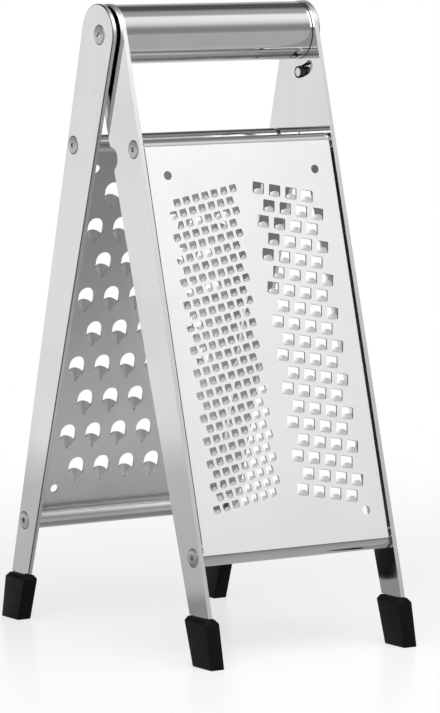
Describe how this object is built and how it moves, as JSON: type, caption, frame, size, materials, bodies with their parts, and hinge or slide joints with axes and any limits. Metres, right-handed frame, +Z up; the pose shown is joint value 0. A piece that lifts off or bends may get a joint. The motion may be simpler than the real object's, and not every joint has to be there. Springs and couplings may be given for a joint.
{
  "type": "folding grater",
  "caption": "Folding kitchen grater: fine, medium and coarse toothed steel panels on flat legs that hinge at a tubular handle and stand on rubber feet.",
  "frame": {"origin": "on the floor, under the middle of the handle, with the grater open and standing on its four feet", "axes": "+Z up, +X along the handle to the right as seen from the fine and medium panel, -Y the way that panel faces"},
  "size_m": [0.1088, 0.1672, 0.2705],
  "materials": {
    "polished_steel": "mirror-polished stainless steel",
    "satin_steel": "satin stainless steel sheet",
    "bright_steel": "bright turned stainless steel",
    "foot_rubber": "matte black rubber",
    "washer_nylon": "matte black nylon"
  },
  "bodies": {
    "front_frame": {"handle_tube": "polished_steel", "handle_plug_left": "bright_steel", "handle_plug_right": "bright_steel", "pivot_washer_left": "washer_nylon", "pivot_washer_right": "washer_nylon", "pivot_screw_left": "bright_steel", "pivot_screw_right": "bright_steel", "front_panel": "satin_steel", "front_top_rod": "bright_steel", "front_bottom_rod": "bright_steel", "front_top_screw_left": "bright_steel", "front_top_screw_right": "bright_steel", "front_bottom_screw_left": "bright_steel", "front_bottom_screw_right": "bright_steel", "front_leg_left": "polished_steel", "front_leg_right": "polished_steel", "front_foot_left": "foot_rubber", "front_foot_right": "foot_rubber"},
    "rear_frame": {"rear_panel": "satin_steel", "rear_top_rod": "bright_steel", "rear_bottom_rod": "bright_steel", "rear_top_screw_left": "bright_steel", "rear_top_screw_right": "bright_steel", "rear_bottom_screw_left": "bright_steel", "rear_bottom_screw_right": "bright_steel", "rear_leg_left": "polished_steel", "rear_leg_right": "polished_steel", "rear_foot_left": "foot_rubber", "rear_foot_right": "foot_rubber", "stop_pin": "bright_steel"}
  },
  "joints": [
    {"name": "fold", "type": "hinge", "parent": "front_frame", "child": "rear_frame", "pos_m": [0, 0, 0.2575], "axis": [-1, 0, 0], "range_deg": [0, 29]}
  ]
}
